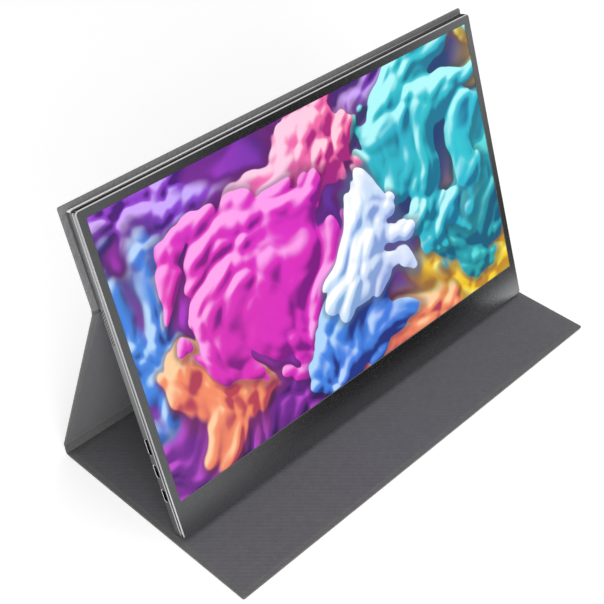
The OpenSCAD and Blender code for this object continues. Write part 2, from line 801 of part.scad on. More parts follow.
module cover_base_board() {
    color("tan") place_base() difference() {
        panel_board(base_len);
        for (s = [-1, 1]) translate([s * cover_w / 4 - bar_len / 2 - magnet_play, front_reach - magnet_play, 0])
            cube([bar_len + 2 * magnet_play, bar_w + 2 * magnet_play, panel_t]);
    }
}
module cover_base_lining() {
    color("dimgray") place_base() panel_lining(base_len);
}

// Folds: a round crease on the axis, joined to its own panel by the fabric
module crease(y, z) {
    translate([-fold_w / 2, y, z]) rotate([0, 90, 0]) cylinder(h = fold_w, r = fold_r);
}
module fold_strip_base() {
    color("slategray") on_base() {
        crease(spine_y, spine_z);
        span([-fold_w / 2, fold_w / 2], [spine_y - end_gap, spine_y], [spine_z - web_t / 2, spine_z + web_t / 2]);
    }
}
module fold_strip_rear() {
    color("slategray") on_strut() {
        crease(0, 0);
        span([-fold_w / 2, fold_w / 2], [0, web_t], [0, end_gap]);
    }
}
module fold_strip_upper() {
    color("slategray") on_strut() {
        crease(panel_t, strut_len);
        span([-fold_w / 2, fold_w / 2], [panel_t - web_t, panel_t], [strut_len - end_gap, strut_len]);
    }
}
module cover_spine() {
    rise = foot_z - spine_z;
    reach = norm([spine_run, rise]);
    color("slategray") on_base() translate([0, spine_y, spine_z]) rotate([-atan2(spine_run, rise), 0, 0])
        span([-fold_w / 2, fold_w / 2], [-spine_t / 2, spine_t / 2], [end_gap, reach - end_gap]);
}

front_bezel();
bezel_gasket();
rear_shell();
panel_tape();
lcd_cell();
optical_films();
light_guide();
reflector_sheet();
led_bar();
backlight_tray();
panel_driver_board();
driver_films();
panel_flex();
main_board();
main_board_chips();
board_screws();
mini_hdmi_port();
mini_hdmi_tongue();
usb_c_port_upper();
usb_c_port_lower();
usb_c_tongues();
speaker_left();
speaker_right();
speaker_mesh_left();
speaker_mesh_right();
speaker_leads();
control_board();
tact_switches();
headphone_jack();
status_light();
control_flex();
magnet_plate();
cover_magnets();
cover_upper_fabric();
cover_upper_board();
cover_upper_lining();
power_button();
menu_rocker();
cover_strut_fabric();
cover_strut_board();
cover_strut_lining();
fold_strip_upper();
fold_strip_rear();
cover_spine();
cover_base_fabric();
cover_base_board();
cover_base_lining();
fold_strip_base();
base_magnets();
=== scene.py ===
import json
import math

import bmesh
import bpy
from mathutils import Matrix, Vector


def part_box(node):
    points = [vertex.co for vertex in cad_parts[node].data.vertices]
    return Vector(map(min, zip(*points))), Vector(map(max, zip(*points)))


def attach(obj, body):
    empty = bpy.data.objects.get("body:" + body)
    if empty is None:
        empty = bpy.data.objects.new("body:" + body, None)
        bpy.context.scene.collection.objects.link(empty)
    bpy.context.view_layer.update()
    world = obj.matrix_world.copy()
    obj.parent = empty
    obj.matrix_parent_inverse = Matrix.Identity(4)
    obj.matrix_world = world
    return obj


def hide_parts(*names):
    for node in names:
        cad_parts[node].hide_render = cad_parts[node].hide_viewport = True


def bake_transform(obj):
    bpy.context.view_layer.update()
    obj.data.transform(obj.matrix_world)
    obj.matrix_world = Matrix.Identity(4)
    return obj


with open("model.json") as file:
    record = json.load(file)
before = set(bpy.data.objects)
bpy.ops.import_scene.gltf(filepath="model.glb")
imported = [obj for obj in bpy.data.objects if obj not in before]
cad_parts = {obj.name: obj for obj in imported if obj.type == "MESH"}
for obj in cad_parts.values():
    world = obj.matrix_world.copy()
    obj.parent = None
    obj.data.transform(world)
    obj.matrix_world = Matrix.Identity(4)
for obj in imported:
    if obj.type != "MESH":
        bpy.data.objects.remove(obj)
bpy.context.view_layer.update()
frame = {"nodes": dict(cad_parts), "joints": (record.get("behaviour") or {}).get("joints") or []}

MM = 0.001

# Sizes of the monitor and its cover
ACTIVE_W = 344.2 * MM
ACTIVE_H = 193.6 * MM
CHIN = 25.8 * MM
MON_T = 10 * MM
FRAME_T = 2.6 * MM
FACE_T = 0.6 * MM
SEAM_W = 0.3 * MM
WALL = 1.2 * MM
CORNER_R = 2.5 * MM
EDGE_C = 0.6 * MM
LIP_C = 0.25 * MM
OPENING_R = 0.3 * MM
LEAN = math.radians(21)
PANEL_T = 2.2 * MM
LINING_PROUD = 0.3 * MM
BORDER_W = 3.5 * MM
COVER_R = 1.5 * MM
COVER_TOP = 228.8 * MM
FOLD_V = 161.9 * MM
PORT_DEPTH = 6.3 * MM
GRILLE_V = 151 * MM
GRILLE_ROWS = 12
GRILLE_COLS = 3
GRILLE_PITCH = 2 * MM
GRILLE_STEP = 1.15 * MM
GRILLE_STAGGER = 0.25

# Places that the frame gives: the joints, and how the monitor and the strut lie between them
JOINTS = {joint["name"]: joint for joint in frame["joints"]}
spine_axis = Vector(JOINTS["spine_fold"]["pos_m"])
strut_axis = Vector(JOINTS["strut_fold"]["pos_m"])
upper_axis = Vector(JOINTS["monitor_fold"]["pos_m"])
MONITOR = Matrix.Rotation(-LEAN, 4, "X")
MONITOR.translation = upper_axis - MONITOR.to_3x3() @ Vector((0, MON_T + PANEL_T, FOLD_V))
strut_top = upper_axis - strut_axis
STRUT_LEAN = math.atan2(-strut_top.y, strut_top.z) + math.atan2(PANEL_T, strut_top.yz.length)
STRUT_LEN = math.sqrt(strut_top.yz.length_squared - PANEL_T ** 2)
STRUT = Matrix.Rotation(STRUT_LEAN, 4, "X")
STRUT.translation = strut_axis
frame_low, frame_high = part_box("front_bezel")
HALF_W = frame_high.x
MON_H = (frame_high.z - frame_low.z - FRAME_T * math.sin(LEAN)) / math.cos(LEAN)


# Node helpers
def grey(level):
    return (level, level, level)


def rgba(value):
    """A number as a grey and a colour as it is, both opaque; a socket stays a socket."""
    if isinstance(value, (int, float)):
        value = grey(value)
    if isinstance(value, tuple):
        return (*value, 1)
    return value


def tinted(level, tint):
    return tuple(level * share for share in tint)


class Nodes:
    """A material's node tree, with short calls that make and join nodes."""

    def __init__(self, tree):
        self.tree = tree

    def new(self, kind, inputs=(), **settings):
        node = self.tree.nodes.new(kind)
        for name, value in settings.items():
            setattr(node, name, value)
        for key, value in dict(inputs).items():
            self.put(node.inputs[key], value)
        return node

    def put(self, socket, value):
        if isinstance(value, bpy.types.NodeSocket):
            self.tree.links.new(value, socket)
        elif isinstance(value, bpy.types.Node):
            self.tree.links.new(value.outputs[0], socket)
        else:
            socket.default_value = value

    def math(self, operation, a, b=0.0, c=0.0):
        return self.new("ShaderNodeMath", {0: a, 1: b, 2: c}, operation=operation).outputs[0]

    def add(self, first, *more):
        for term in more:
            first = self.math("ADD", first, term)
        return first

    def sub(self, a, b):
        return self.math("SUBTRACT", a, b)

    def mul(self, a, b):
        return self.math("MULTIPLY", a, b)

    def div(self, a, b):
        return self.math("DIVIDE", a, b)

    def most(self, a, b):
        return self.math("MAXIMUM", a, b)

    def above(self, value, limit):
        return self.math("GREATER_THAN", value, limit)

    def below(self, value, limit):
        return self.math("LESS_THAN", value, limit)

    def vector(self, operation, a, b=(0, 0, 0), scale=1.0):
        node = self.new("ShaderNodeVectorMath", {0: a, 1: b}, operation=operation)
        if operation == "SCALE":
            self.put(node.inputs["Scale"], scale)
        return node.outputs["Value" if operation in ("DOT_PRODUCT", "LENGTH") else "Vector"]

    def split(self, vector):
        return self.new("ShaderNodeSeparateXYZ", {0: vector}).outputs

    def join(self, x, y):
        return self.new("ShaderNodeCombineXYZ", {0: x, 1: y}).outputs[0]

    def ramp(self, value, low, high, to_low=0.0, to_high=1.0, kind="SMOOTHSTEP"):
        inputs = {"Value": value, "From Min": low, "From Max": high, "To Min": to_low, "To Max": to_high}
        return self.new("ShaderNodeMapRange", inputs, interpolation_type=kind).outputs[0]

    def spread(self, noise, to_low, to_high, span=(0.3, 0.7)):
        """A noise's usual span drawn out to the two given values."""
        return self.ramp(noise, *span, to_low, to_high, "LINEAR")

    def mix(self, factor, a, b, blend="MIX"):
        """Two colours or greys mixed by factor."""
        node = self.new("ShaderNodeMix", data_type="RGBA", blend_type=blend)
        self.put(node.inputs[0], factor)
        self.put(node.inputs[6], rgba(a))
        self.put(node.inputs[7], rgba(b))
        return node.outputs[2]

    def place(self):
        """The point in the row frame at rest, which rides with the piece."""
        return self.new("ShaderNodeTexCoord").outputs["Object"]

    def noise(self, vector, scale, detail, rough):
        """Noise whose first output is a number and whose second is a colour."""
        inputs = {"Vector": vector, "Scale": scale, "Detail": detail, "Roughness": rough}
        return self.new("ShaderNodeTexNoise", inputs).outputs

    def bump(self, height, strength, distance):
        return self.new("ShaderNodeBump", {"Height": height, "Strength": strength, "Distance": distance})


def material(name, colour, roughness, metallic=0.0, **sockets):
    """A principled material and its node helper; more sockets are named with _ for blanks."""
    made = bpy.data.materials.new(name)
    made.use_nodes = True
    tree = made.node_tree
    tree.nodes.clear()
    nodes = Nodes(tree)
    shader = nodes.new("ShaderNodeBsdfPrincipled")
    out = nodes.new("ShaderNodeOutputMaterial")
    tree.links.new(shader.outputs[0], out.inputs[0])
    shader.inputs["Base Color"].default_value = rgba(colour)
    shader.inputs["Roughness"].default_value = roughness
    shader.inputs["Metallic"].default_value = metallic
    for key, value in sockets.items():
        shader.inputs[key.replace("_", " ")].default_value = value
    return made, nodes, shader


# Metal of the frame and the shell; a noise is a scale per metre, a detail and a roughness
SHELL_FINISH = (0.27, 0.34)
FRAME_FINISH = (0.27, 0.25)
BLAST_TINT = (0.985, 1.0, 1.02)
BLAST_GRAIN = (2600, 3, 0.6)
BLAST_CLOUD = (35, 3, 0.55)
BLAST_WEAR = (420, 4, 0.65)
BLAST_TONE = 0.05
CLOUD_TONE = 0.03
CLOUD_SPAN = (0.35, 0.65)
WEAR_ROUGH = 0.03
GRAIN_BUMP = 0.04
GRAIN_DEPTH = 0.02 * MM

POLISH_LEVEL = 0.58
POLISH_ROUGH = 0.16
POLISH_TRACE = (900, 3, 0.6)
TRACE_ROUGH = (-0.03, 0.06)
POLISH_SLACK = 0.02 * MM
POLISH_FROM = FRAME_T + SEAM_W - POLISH_SLACK
POLISH_TO = FRAME_T + SEAM_W + EDGE_C
LIP_LEVEL = 0.16
EDGE_FROM = 0.9 * EDGE_C
EDGE_ROUGH = 0.12

# Ports: centre up the monitor, then length and width of the opening
PORT_OPENINGS = (
    (68.0 * MM, 11.52 * MM, 3.52 * MM),
    (50.3 * MM, 9.44 * MM, 3.66 * MM),
    (32.1 * MM, 9.44 * MM, 3.66 * MM),
)
# The rims of the port cuts carry a painted highlight: pale and not metallic
RIM_HIGHLIGHT_LEVEL = 0.62
RIM_W = 0.25 * MM
RIM_SHIFT = 0.25 * MM
RIM_SKIN = 0.25 * MM
# Painted shade in the grille holes, the port cuts and the port mouths; round each grille hole it reaches a
# little past the hole
HOLE_SHADE_R = 0.46 * MM
PIT_SHADE_LEVEL = 0.012
PIT_ROUGH = 0.8
MOUTH_SKIN = 1.4 * MM
MOUTH_LEVEL = 0.30
MOUTH_LOW = 0.27
MOUTH_MARK = (700, 3, 0.6)
MOUTH_ROUGH = 0.3
MOUTH_PIT_ROUGH = 0.7

# The top wall: a painted dark reflection, with a painted highlight band behind it that widens to the left
# and fades to the right
TOP_ZONE = 0.9 * MM
TOP_PAINTED_DARK = 0.03
TOP_SPLIT_LEFT = 5.2 * MM
TOP_SPLIT_RIGHT = 7.2 * MM
TOP_END = 9.97 * MM
TOP_PAINTED_HIGHLIGHT = 0.95
TOP_FADE = 0.45
TOP_FADE_FROM = 0.3


def depth_in_monitor(nodes, point):
    """Distance behind the front face, in metres."""
    normal = MONITOR.to_3x3() @ Vector((0, 1, 0))
    return nodes.sub(nodes.vector("DOT_PRODUCT", point, tuple(normal)), MONITOR.translation.dot(normal))


def height_in_monitor(nodes, point):
    """Distance up the monitor from its lower edge, in metres."""
    upward = MONITOR.to_3x3() @ Vector((0, 0, 1))
    return nodes.sub(nodes.vector("DOT_PRODUCT", point, tuple(upward)), MONITOR.translation.dot(upward))


def on_top(nodes, point):
    """1 on the monitor's top wall."""
    return nodes.above(height_in_monitor(nodes, point), MON_H - TOP_ZONE)


def blasted_metal(name, level, roughness):
    """Anodised metal with a fine blasted grain; returns its nodes, colour and roughness too."""
    made, nodes, shader = material(name, grey(level), roughness, 1.0)
    point = nodes.place()
    grain = nodes.noise(point, *BLAST_GRAIN)[0]
    tone = nodes.spread(grain, 1 - BLAST_TONE, 1 + BLAST_TONE)
    broad = nodes.spread(nodes.noise(point, *BLAST_CLOUD)[0], 1 - CLOUD_TONE, 1 + CLOUD_TONE, CLOUD_SPAN)
    plain = nodes.mix(1.0, tinted(level, BLAST_TINT), nodes.mul(tone, broad), "MULTIPLY")
    wear = nodes.noise(point, *BLAST_WEAR)[0]
    rough = nodes.spread(wear, roughness - WEAR_ROUGH, roughness + WEAR_ROUGH)
    nodes.put(shader.inputs["Base Color"], plain)
    nodes.put(shader.inputs["Roughness"], rough)
    nodes.put(shader.inputs["Normal"], nodes.bump(grain, GRAIN_BUMP, GRAIN_DEPTH))
    return made, nodes, shader, point, plain, rough


def port_zone(nodes, depth, height):
    """1 on the ports and on a ring round each, wider on the side away from the screen, where the rims'
    painted highlight goes.
    """
    zone = 0.0
    for centre, long_way, short_way in PORT_OPENINGS:
        along = nodes.math("ABSOLUTE", nodes.sub(height, centre))
        beyond = nodes.most(nodes.sub(along, (long_way - short_way) / 2), 0.0)
        across = nodes.sub(depth, PORT_DEPTH + RIM_SHIFT)
        span = nodes.vector("LENGTH", nodes.join(beyond, across))
        zone = nodes.most(zone, nodes.below(span, short_way / 2 + RIM_W))
    return zone


def grille_zone(nodes, depth, height):
    """1 on the grille's holes and on a thin ring round each of them, where shade is painted."""
    lane = nodes.div(nodes.sub(depth, PORT_DEPTH), GRILLE_STEP)
    column = nodes.math("ROUND", lane)
    outer = nodes.math("ABSOLUTE", column)
    stagger = nodes.math("MULTIPLY_ADD", outer, 2 * GRILLE_STAGGER, -GRILLE_STAGGER)
    row = nodes.sub(nodes.div(nodes.sub(height, GRILLE_V), GRILLE_PITCH), stagger)
    from_row = nodes.sub(nodes.math("FRACT", nodes.add(row, GRILLE_ROWS)), 0.5)
    up = nodes.mul(from_row, GRILLE_PITCH)
    across = nodes.mul(nodes.sub(lane, column), GRILLE_STEP)
    hole = nodes.below(nodes.vector("LENGTH", nodes.join(up, across)), HOLE_SHADE_R)
    hole = nodes.mul(hole, nodes.below(outer, GRILLE_COLS / 2))
    return nodes.mul(hole, nodes.below(nodes.math("ABSOLUTE", row), GRILLE_ROWS / 2))


def top_highlight_band(nodes, depth, along):
    """1 on the painted highlight band at the rear of the top wall; along runs from 0 at the left to 1 at
    the right.
    """
    start = nodes.math("MULTIPLY_ADD", along, TOP_SPLIT_RIGHT - TOP_SPLIT_LEFT, TOP_SPLIT_LEFT)
    return nodes.mul(nodes.above(depth, start), nodes.below(depth, TOP_END))


def shell_metal():
    """The rear shell: polished at the seam, with a painted dark reflection and a painted highlight band on
    the top wall, painted highlights on the port rims and painted shade in the holes.
    """
    made, nodes, shader, point, plain, rough = blasted_metal("shell_metal", *SHELL_FINISH)
    depth = depth_in_monitor(nodes, point)
    height = height_in_monitor(nodes, point)
    x = nodes.split(point)[0]
    polish = nodes.math("COMPARE", depth, (POLISH_FROM + POLISH_TO) / 2, (POLISH_TO - POLISH_FROM) / 2)
    plain = nodes.mix(polish, plain, POLISH_LEVEL)

    # Painted reflection: the top wall is painted dark, and its rear band is a painted highlight, not
    # metallic, that fades to the right
    top = on_top(nodes, point)
    along = nodes.div(nodes.add(x, HALF_W), 2 * HALF_W)
    band = nodes.mul(top_highlight_band(nodes, depth, along), top)
    plain = nodes.mix(top, plain, TOP_PAINTED_DARK)
    plain = nodes.mix(band, plain, nodes.ramp(along, TOP_FADE_FROM, 1.0, TOP_PAINTED_HIGHLIGHT, TOP_FADE))

    port = nodes.mul(port_zone(nodes, depth, height), nodes.below(x, -HALF_W + WALL))
    # Painted highlight on the outer skin of the port rims
    rim_highlight = nodes.mul(port, nodes.below(x, -HALF_W + RIM_SKIN))
    plain = nodes.mix(rim_highlight, plain, RIM_HIGHLIGHT_LEVEL)
    rough = nodes.mix(nodes.most(polish, rim_highlight), rough, POLISH_ROUGH)

    on_side = nodes.above(nodes.math("ABSOLUTE", x), HALF_W - WALL)
    # Painted shade in the grille holes and on the inner faces of the port cuts
    pit_shade = nodes.most(nodes.mul(grille_zone(nodes, depth, height), on_side), nodes.sub(port, rim_highlight))
    nodes.put(shader.inputs["Base Color"], nodes.mix(pit_shade, plain, PIT_SHADE_LEVEL))
    nodes.put(shader.inputs["Roughness"], nodes.mix(pit_shade, rough, PIT_ROUGH))
    # The painted highlights on the port rims and on the top band are not metallic
    nodes.put(shader.inputs["Metallic"], nodes.sub(1.0, nodes.most(rim_highlight, band)))
    return made


def frame_metal():
    """The front frame: blasted face, smoother walls and a painted dark reflection on the top wall."""
    made, nodes, shader, point, plain, rough = blasted_metal("frame_metal", *FRAME_FINISH)
    edge = nodes.above(depth_in_monitor(nodes, point), EDGE_FROM)
    # Painted dark reflection on the frame's top wall behind its front edge
    shaded = nodes.mul(edge, on_top(nodes, point))
    nodes.put(shader.inputs["Base Color"], nodes.mix(shaded, plain, TOP_PAINTED_DARK))
    nodes.put(shader.inputs["Roughness"], nodes.mix(edge, rough, EDGE_ROUGH))
    return made


def polished_metal(name, level):
    """The bright cut of the chamfers, with a faint trace of the cutter."""
    made, nodes, shader = material(name, grey(level), POLISH_ROUGH, 1.0)
    trace = nodes.noise(nodes.place(), *POLISH_TRACE)[0]
    smooth, dull = TRACE_ROUGH
    nodes.put(shader.inputs["Roughness"], nodes.spread(trace, POLISH_ROUGH + smooth, POLISH_ROUGH + dull))
    return made


def socket_metal():
    """Bright sheet metal of the ports, with painted shade inside the mouth."""
    made, nodes, shader = material("socket_metal", grey(MOUTH_LEVEL), MOUTH_ROUGH, 1.0)
    point = nodes.place()
    # Painted shade deeper in the mouth than its skin
    inside = nodes.above(nodes.split(point)[0], -HALF_W + MOUTH_SKIN)
    tone = nodes.spread(nodes.noise(point, *MOUTH_MARK)[0], MOUTH_LOW, MOUTH_LEVEL)
    nodes.put(shader.inputs["Base Color"], nodes.mix(inside, tone, PIT_SHADE_LEVEL))
    nodes.put(shader.inputs["Roughness"], nodes.mix(inside, MOUTH_ROUGH, MOUTH_PIT_ROUGH))
    return made


# Cloth of the cover: twill ribs run at 45 degrees over the panels
CLOTH_LEVEL = 0.098
# Painted light: the upper panel's cloth is a lighter copy of the same cloth, lit where it faces the front
UPPER_CLOTH_LIT_LEVEL = 0.145
LINING_LEVEL = 0.093
# Painted shade: the lining of the strut and the upper panel is a slightly darker copy, for inner faces that
# sit in shade
STEEP_LINING_SHADE_LEVEL = 0.089
LINING_TINT = (0.985, 0.965, 1.08)
CLOTH_ROUGH = 0.82
FINE_PITCH = 1.05 * MM
RIB_PITCH = 3.15 * MM
FLOAT_PITCH = 2.1 * MM
FLOAT_STEP = 0.7 * MM
WANDER = 0.6 * MM
WANDER_NOISE = (90, 2, 0.5)
YARN_NOISE = (1500, 3, 0.7)
FLECK_NOISE = (260, 2, 0.5)
RIB_TONE = 0.045
FINE_TONE = 0.075
FLOAT_TONE = 0.05
YARN_TONE = 0.14
FLECK_TONE = 0.07
FINE_RELIEF = 0.5
FLOAT_RELIEF = 0.3
YARN_RELIEF = 0.6
CLOTH_BUMP = 0.6
CLOTH_DEPTH = 0.12 * MM
SHEEN_WEIGHT = 0.15
SHEEN_ROUGH = 0.5


def wave(nodes, value, pitch):
    return nodes.math("SINE", nodes.mul(value, 2 * math.pi / pitch))


def twill(name, level, tint=(1.0, 1.0, 1.0), steep=False):
    """Twill cloth; on a steep panel the ribs are laid out by height too."""
    made, nodes, shader = material(name, tinted(level, tint), CLOTH_ROUGH)
    point = nodes.place()
    x, y, z = nodes.split(point)
    run = nodes.sub(y, z) if steep else y
    across = nodes.mul(nodes.add(x, run), 1 / math.sqrt(2))
    along = nodes.mul(nodes.sub(x, run), 1 / math.sqrt(2))
    lane = nodes.add(across, nodes.mul(nodes.noise(point, *WANDER_NOISE)[0], WANDER))
    fine = wave(nodes, lane, FINE_PITCH)
    rib = wave(nodes, lane, RIB_PITCH)
    step = nodes.mul(nodes.math("FLOOR", nodes.div(lane, FINE_PITCH)), FLOAT_STEP)
    floats = wave(nodes, nodes.add(along, step), FLOAT_PITCH)
    yarn = nodes.noise(point, *YARN_NOISE)[0]
    fleck = nodes.noise(point, *FLECK_NOISE)[0]
    relief = nodes.add(nodes.mul(fine, FINE_RELIEF), nodes.mul(floats, FLOAT_RELIEF),
                       nodes.mul(yarn, YARN_RELIEF))
    tone = nodes.add(nodes.math("MULTIPLY_ADD", rib, RIB_TONE, 1.0),
                     nodes.mul(fine, FINE_TONE),
                     nodes.mul(floats, FLOAT_TONE),
                     nodes.spread(yarn, -YARN_TONE, YARN_TONE),
                     nodes.spread(fleck, -FLECK_TONE, FLECK_TONE))
    nodes.put(shader.inputs["Base Color"], nodes.mix(1.0, tinted(level, tint), tone, "MULTIPLY"))
    nodes.put(shader.inputs["Normal"], nodes.bump(relief, CLOTH_BUMP, CLOTH_DEPTH))
    shader.inputs["Sheen Weight"].default_value = SHEEN_WEIGHT
    shader.inputs["Sheen Roughness"].default_value = SHEEN_ROUGH
    return made


# Mesh helpers
CORNER_STEPS = 8
SMOOTH_DEG = 35


def outline(w, h, low, r):
    """Points round a rounded rectangle, counterclockwise from the lower right corner's arc."""
    left, right = -w / 2 + r, w / 2 - r
    bottom, top = low + r, low + h - r
    points = []
    for x, y, start in ((right, bottom, -90), (right, top, 0), (left, top, 90), (left, bottom, 180)):
        for i in range(CORNER_STEPS + 1):
            turn = math.radians(start + 90 * i / CORNER_STEPS)
            points.append((x + r * math.cos(turn), y + r * math.sin(turn)))
    return points


def loft(bm, rings, closed=False):
    """Bands of quads between rings of equal length, closed in a loop or with capped ends."""
    made = [[bm.verts.new(p) for p in ring] for ring in rings]
    pairs = list(zip(made, made[1:]))
    if closed:
        pairs.append((made[-1], made[0]))
    bands = []
    for a, b in pairs:
        band = []
        for i in range(len(a)):
            j = (i + 1) % len(a)
            band.append(bm.faces.new((a[i], a[j], b[j], b[i])))
        bands.append(band)
    if not closed:
        bm.faces.new(made[0])
        bm.faces.new(made[-1])
    return bands


def finish_mesh(name, bm, materials, place=None):
    bmesh.ops.recalc_face_normals(bm, faces=bm.faces)
    if place is not None:
        bm.transform(place)
    mesh = bpy.data.meshes.new(name)
    bm.to_mesh(mesh)
    bm.free()
    for entry in materials:
        mesh.materials.append(entry)
    mesh.polygons.foreach_set("use_smooth", [True] * len(mesh.polygons))
    mesh.set_sharp_from_angle(angle=math.radians(SMOOTH_DEG))
    made = bpy.data.objects.new(name, mesh)
    bpy.context.scene.collection.objects.link(made)
    return made


# The front frame, with its polished outer edge and the bright lip round the picture
FRAME_CORNER_MIN = 0.5 * MM
POLISH_BAND = 1
LIP_BAND = 3


def make_front_frame(metal, polish, lip):
    """A closed loft of rings: outer wall, face, picture opening and the hidden inner side."""

    def ring(inset, depth):
        corner = max(CORNER_R - inset, FRAME_CORNER_MIN)
        sides = outline(2 * HALF_W - 2 * inset, MON_H - 2 * inset, inset, corner)
        return [(x, depth, z) for x, z in sides]

    def opening(grow, depth):
        sides = outline(ACTIVE_W + 2 * grow, ACTIVE_H + 2 * grow, CHIN - grow, OPENING_R + grow)
        return [(x, depth, z) for x, z in sides]

    bm = bmesh.new()
    bands = loft(bm, [
        ring(0, FRAME_T),
        ring(0, EDGE_C),
        ring(EDGE_C, 0),
        opening(LIP_C, 0),
        opening(0, LIP_C),
        opening(0, FACE_T),
        ring(WALL, FACE_T),
        ring(WALL, FRAME_T),
    ], closed=True)
    for face in bands[POLISH_BAND]:
        face.material_index = 1
    for face in bands[LIP_BAND]:
        face.material_index = 2
    made = finish_mesh("front_frame", bm, [metal, polish, lip], MONITOR)
    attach(made, "monitor")
    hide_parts("front_bezel")


# Cloth-wrapped panels; an edge lists insets from the outline with heights over the outer face
WRAP_R = 0.75 * MM
WRAP_STEPS = 4
PANEL_CORNER_MIN = 0.3 * MM
LIP_Z = PANEL_T - LINING_PROUD
CLOTH_END = (
    (BORDER_W - 0.5 * MM, LIP_Z),
    (BORDER_W, PANEL_T - 0.08 * MM),
    (BORDER_W + 1.5 * MM, PANEL_T - 0.12 * MM),
)
LINING_EDGE = (
    (BORDER_W + 0.4 * MM, LIP_Z - 0.05 * MM),
    (BORDER_W, LIP_Z - 0.02 * MM),
    (BORDER_W + 0.03 * MM, LIP_Z + 0.14 * MM),
    (BORDER_W + 0.14 * MM, LIP_Z + 0.25 * MM),
    (BORDER_W + 0.35 * MM, PANEL_T),
)


def wrapped_edge():
    """The soft edge of the cloth, from the outer face to the turned-in border."""
    edge = []
    for i in range(WRAP_STEPS + 1):
        turn = math.radians(90 * i / WRAP_STEPS)
        edge.append((WRAP_R - WRAP_R * math.sin(turn), WRAP_R - WRAP_R * math.cos(turn)))
    for i in range(WRAP_STEPS + 1):
        turn = math.radians(90 * i / WRAP_STEPS)
        edge.append((WRAP_R - WRAP_R * math.cos(turn), LIP_Z - WRAP_R + WRAP_R * math.sin(turn)))
    return edge


def make_slab(name, w, length, edge, place, finish):
    """A panel's layer: x across it, y along it and z up from its outer face."""
    rings = []
    for inset, z in edge:
        corner = max(COVER_R - inset, PANEL_CORNER_MIN)
        sides = outline(w - 2 * inset, length - 2 * inset, inset, corner)
        rings.append([(x, y, z) for x, y in sides])
    bm = bmesh.new()
    loft(bm, rings)
    return finish_mesh(name, bm, [finish], place)


def make_panel(node, place, length, body, cloth, lining):
    """Cloth turned in over the board's edge, with the lining a little proud of that border."""
    cover_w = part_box(f"cover_{node}_fabric")[1].x * 2
    edge = wrapped_edge() + list(CLOTH_END)
    wrap = make_slab(f"cover_{node}_cloth", cover_w, length, edge, place, cloth)
    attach(wrap, body)
    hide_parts(f"cover_{node}_fabric")
    liner = make_slab(f"cover_{node}_liner", cover_w, length, LINING_EDGE, place, lining)
    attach(liner, body)
    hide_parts(f"cover_{node}_lining")


# Folds: strips of cloth whose ends are tucked between the layers of the panels
FOLD_INSET = 0.2 * MM
FOLD_T = 0.9 * MM
SPINE_T = 1.0 * MM
FOLD_STEPS = 10
FOLD_SOFTEN = 3
FOLD_COLUMNS = 60
PANEL_GAP = 0.9 * MM
TUCK = 2 * MM
BASE_TUCK = 1 * MM
TUCK_DEPTH = 0.5 * MM
BASE_FOLD_END = 0.35
SPINE_SHARES = (0.25, 0.5, 0.75)
REAR_FOLD_START = 0.65


def soft_line(points):
    """Steps along the corners in points, with the corners rounded off."""
    line = []
    for a, b in zip(points, points[1:]):
        for i in range(FOLD_STEPS):
            line.append(a.lerp(b, i / FOLD_STEPS))
    line.append(points[-1])
    for _ in range(FOLD_SOFTEN):
        inner = [(a + b * 2 + c) / 4 for a, b, c in zip(line, line[1:], line[2:])]
        line = [line[0], *inner, line[-1]]
    return line


def strip_ring(line, thick):
    """Points at half the thickness to either side of the line, there and back."""
    ring = []
    for walk in (line, line[::-1]):
        for i, p in enumerate(walk):
            before = walk[max(i - 1, 0)]
            after = walk[min(i + 1, len(walk) - 1)]
            along = (after - before).normalized()
            ring.append(p + Vector((0, -along.z, along.y)) * thick / 2)
    return ring


def fold_strip(name, points, thick, node, bodies, cloth):
    """A strip of cloth whose middle line runs through points, rounded at the inner ones; a strip that spans
    two bodies is attached to neither.
    """
    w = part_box("cover_base_fabric")[1].x * 2 - 2 * FOLD_INSET
    line = soft_line(points)
    ring = strip_ring(line, thick)
    rings = []
    for column in range(FOLD_COLUMNS + 1):
        x = -w / 2 + w * column / FOLD_COLUMNS
        rings.append([(x, p.y, p.z) for p in ring])
    bm = bmesh.new()
    loft(bm, rings)
    strip = finish_mesh(name, bm, [cloth])
    if len(bodies) == 2:
        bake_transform(strip)
    else:
        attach(strip, bodies[0])
    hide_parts(node)


def make_panels(cloth, cloth_steep, upper_lit_cloth, lining, lining_steep):
    base_low, base_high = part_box("cover_base_fabric")
    stand_up = Matrix.Rotation(math.radians(90), 4, "X")
    base_place = Matrix.Translation((0, base_low.y, 0))
    strut_place = STRUT @ Matrix.Translation((0, PANEL_T, PANEL_GAP)) @ stand_up
    upper_place = MONITOR @ Matrix.Translation((0, MON_T + PANEL_T, FOLD_V + PANEL_GAP)) @ stand_up
    upper_len = COVER_TOP - FOLD_V - PANEL_GAP
    make_panel("base", base_place, base_high.y - base_low.y, "base", cloth, lining)
    make_panel("strut", strut_place, STRUT_LEN - 2 * PANEL_GAP, "strut", cloth_steep, lining_steep)
    make_panel("upper", upper_place, upper_len, "monitor", upper_lit_cloth, lining_steep)


